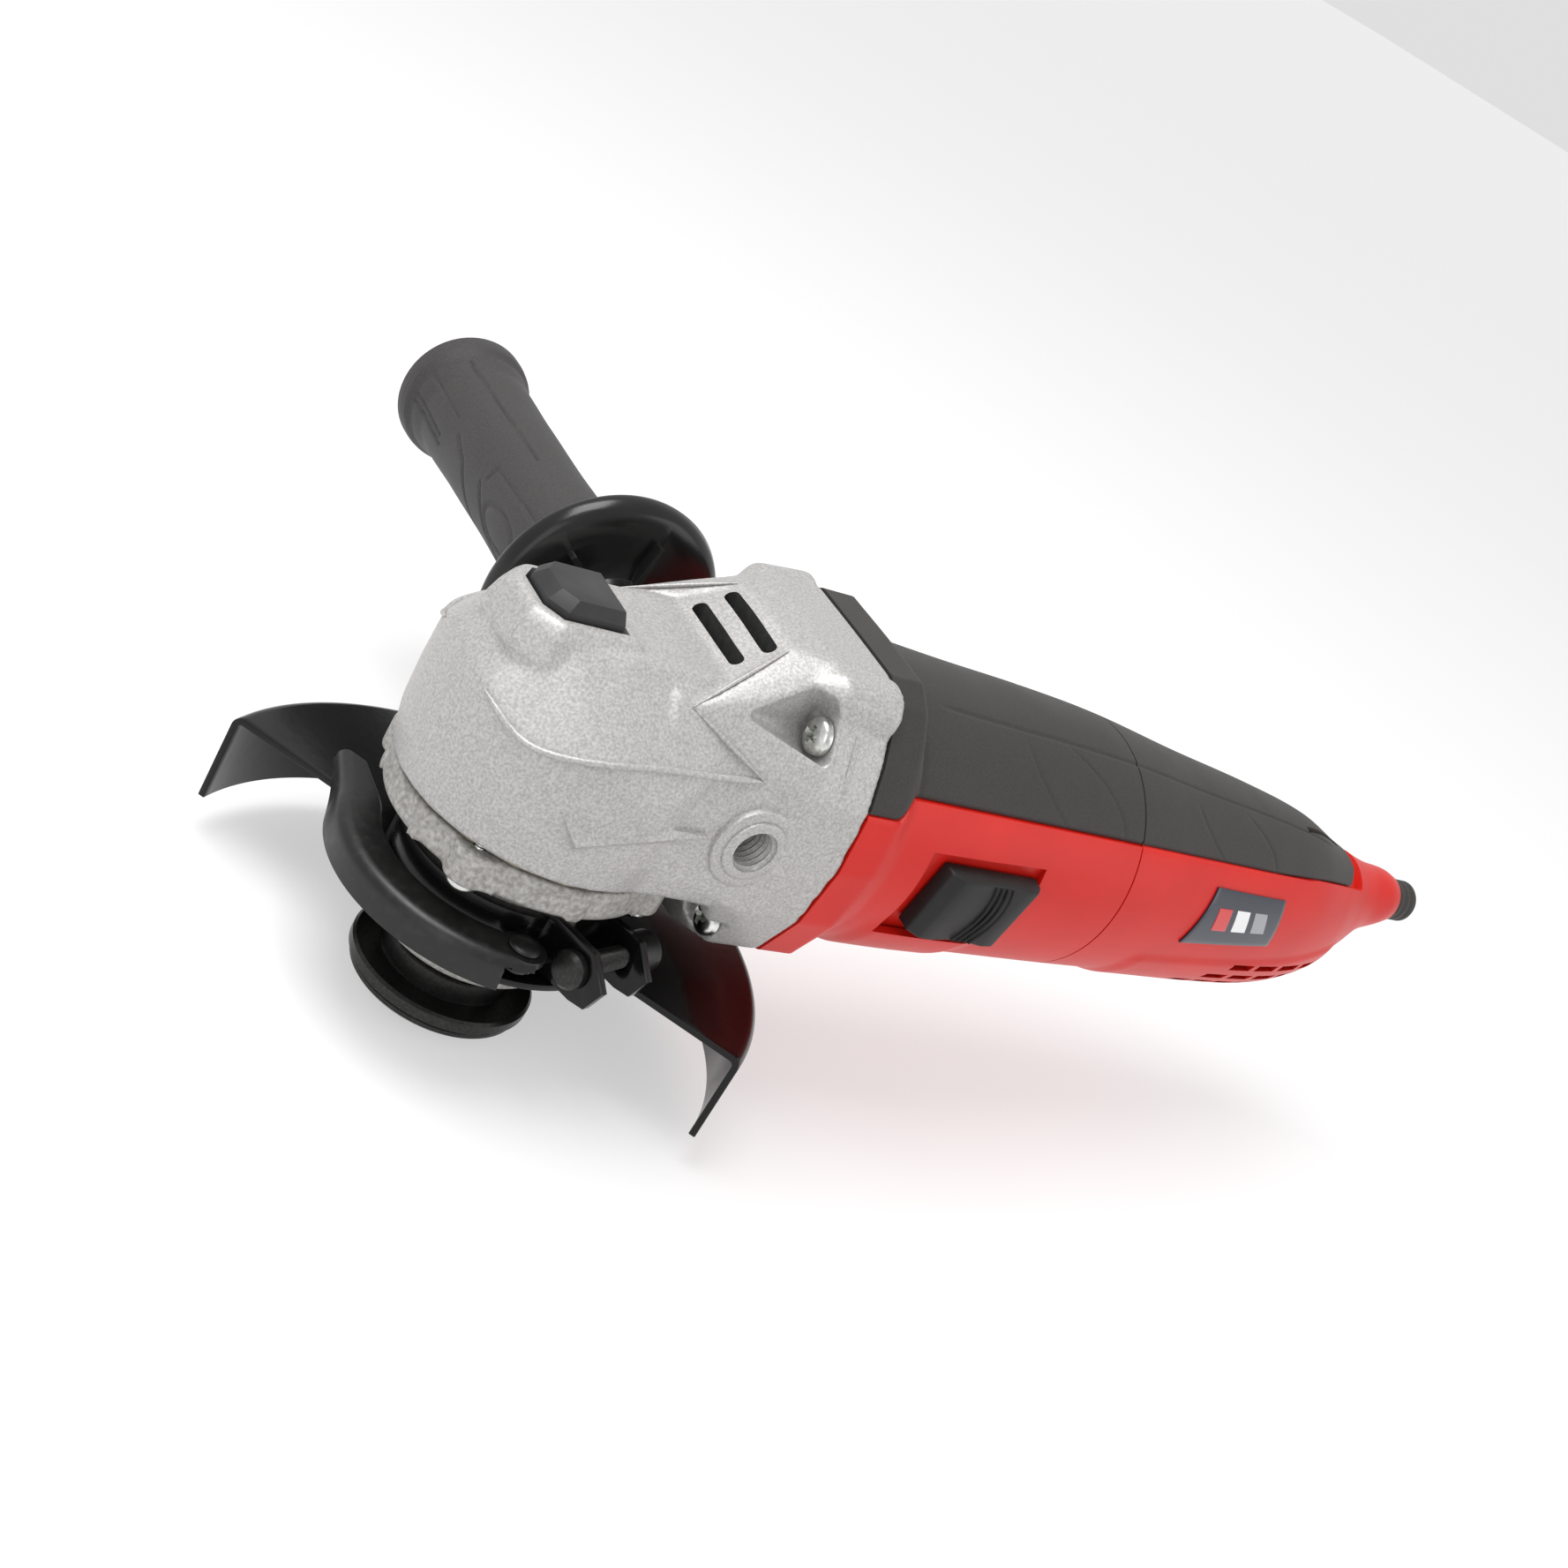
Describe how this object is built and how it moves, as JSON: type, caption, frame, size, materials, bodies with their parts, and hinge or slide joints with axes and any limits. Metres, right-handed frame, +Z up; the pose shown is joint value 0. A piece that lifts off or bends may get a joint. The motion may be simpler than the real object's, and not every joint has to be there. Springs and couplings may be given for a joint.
{
  "type": "angle grinder",
  "caption": "Compact corded angle grinder with a cast head, moulded two-part body, side handle and a guard with a quick-release clamp lever.",
  "frame": {"origin": "centre of the flat end face of the spindle", "axes": "+X along the motor axis from the cord to the head, +Y to the tool's left, +Z up the spindle, from its end to the lock button; the side handle is on the -Y side"},
  "size_m": [0.3233, 0.2041, 0.11],
  "materials": {
    "cast_aluminium": "sparkly cast, satin",
    "red_plastic": "satin moulded",
    "soft_black": "fine grained",
    "black_plastic": "moulded",
    "black_paint": "gloss",
    "dark_steel": "turned, blackened",
    "zinc": "zinc plated",
    "steel": "ground",
    "laminate": "laminated",
    "copper": "enamelled wire",
    "brass": "plain",
    "carbon": "pressed carbon",
    "paper": "gasket paper",
    "navy": "printed plate"
  },
  "bodies": {
    "housing": {"gear_housing": "cast_aluminium", "bearing_cap": "cast_aluminium", "motor_housing": "red_plastic", "rear_housing": "red_plastic", "motor_overmould": "soft_black", "rear_overmould": "soft_black", "cord_guard": "soft_black", "handle_grip": "soft_black", "rear_bearing_sleeve": "soft_black", "switch_block": "black_plastic", "air_baffle": "black_plastic", "handle_core": "black_plastic", "cord_clamp": "black_plastic", "housing_screw_left_upper": "zinc", "housing_screw_left_lower": "zinc", "housing_screw_right_upper": "zinc", "housing_screw_right_lower": "zinc", "cap_screw_front_left": "zinc", "cap_screw_front_right": "zinc", "cap_screw_rear_left": "zinc", "cap_screw_rear_right": "zinc", "rear_housing_screw_upper": "zinc", "rear_housing_screw_lower": "zinc", "handle_stud": "zinc", "pinion_bearing": "steel", "rear_bearing": "steel", "spindle_bearing": "steel", "lock_spring": "steel", "stator_core": "laminate", "field_coil_left": "copper", "field_coil_right": "copper", "spindle_bush": "brass", "brush_holder_upper": "brass", "brush_holder_lower": "brass", "carbon_brush_upper": "carbon", "carbon_brush_lower": "carbon", "cap_gasket": "paper", "badge": "navy"},
    "rotor": {"armature_shaft": "steel", "armature_core": "laminate", "armature_winding_front": "copper", "armature_winding_rear": "copper", "commutator": "copper", "cooling_fan": "black_plastic", "pinion": "steel"},
    "spindle": {"spindle": "steel", "bevel_gear": "steel", "inner_flange": "dark_steel", "lock_nut": "dark_steel"},
    "guard": {"guard_shell": "black_paint", "guard_clamp_band": "black_paint", "clamp_screw": "steel", "clamp_nut": "black_paint", "lever_rivet": "black_paint"},
    "guard_lever": {"guard_lever": "black_paint"},
    "lock_button": {"lock_button": "black_plastic", "lock_pin": "steel"},
    "switch_slider": {"switch_slider": "black_plastic", "switch_rod": "black_plastic"}
  },
  "joints": [
    {"name": "rotor_spin", "type": "hinge", "parent": "housing", "child": "rotor", "pos_m": [0, 0, 0.072], "axis": [1, 0, 0], "continuous": true},
    {"name": "spindle_spin", "type": "hinge", "parent": "housing", "child": "spindle", "pos_m": [0, 0, 0], "axis": [0, 0, 1], "continuous": true},
    {"name": "guard_turn", "type": "hinge", "parent": "housing", "child": "guard", "pos_m": [0, 0, 0.03], "axis": [0, 0, 1], "range_deg": [-90, 25]},
    {"name": "lever_swing", "type": "hinge", "parent": "guard", "child": "guard_lever", "pos_m": [0.00584, 0.02975, 0.036], "axis": [0, 0, 1], "range_deg": [0, 100]},
    {"name": "lock_press", "type": "slide", "parent": "housing", "child": "lock_button", "axis": [0, 0, -1], "range_m": [0, 0.004], "stiffness_N_per_m": 900, "springref_m": -0.003, "deforming": ["lock_spring"]},
    {"name": "switch_slide", "type": "slide", "parent": "housing", "child": "switch_slider", "axis": [1, 0, 0], "range_m": [0, 0.006]}
  ],
  "couplings": [
    {"joint": "spindle_spin", "follows": "rotor_spin", "ratio": -0.33333}
  ]
}
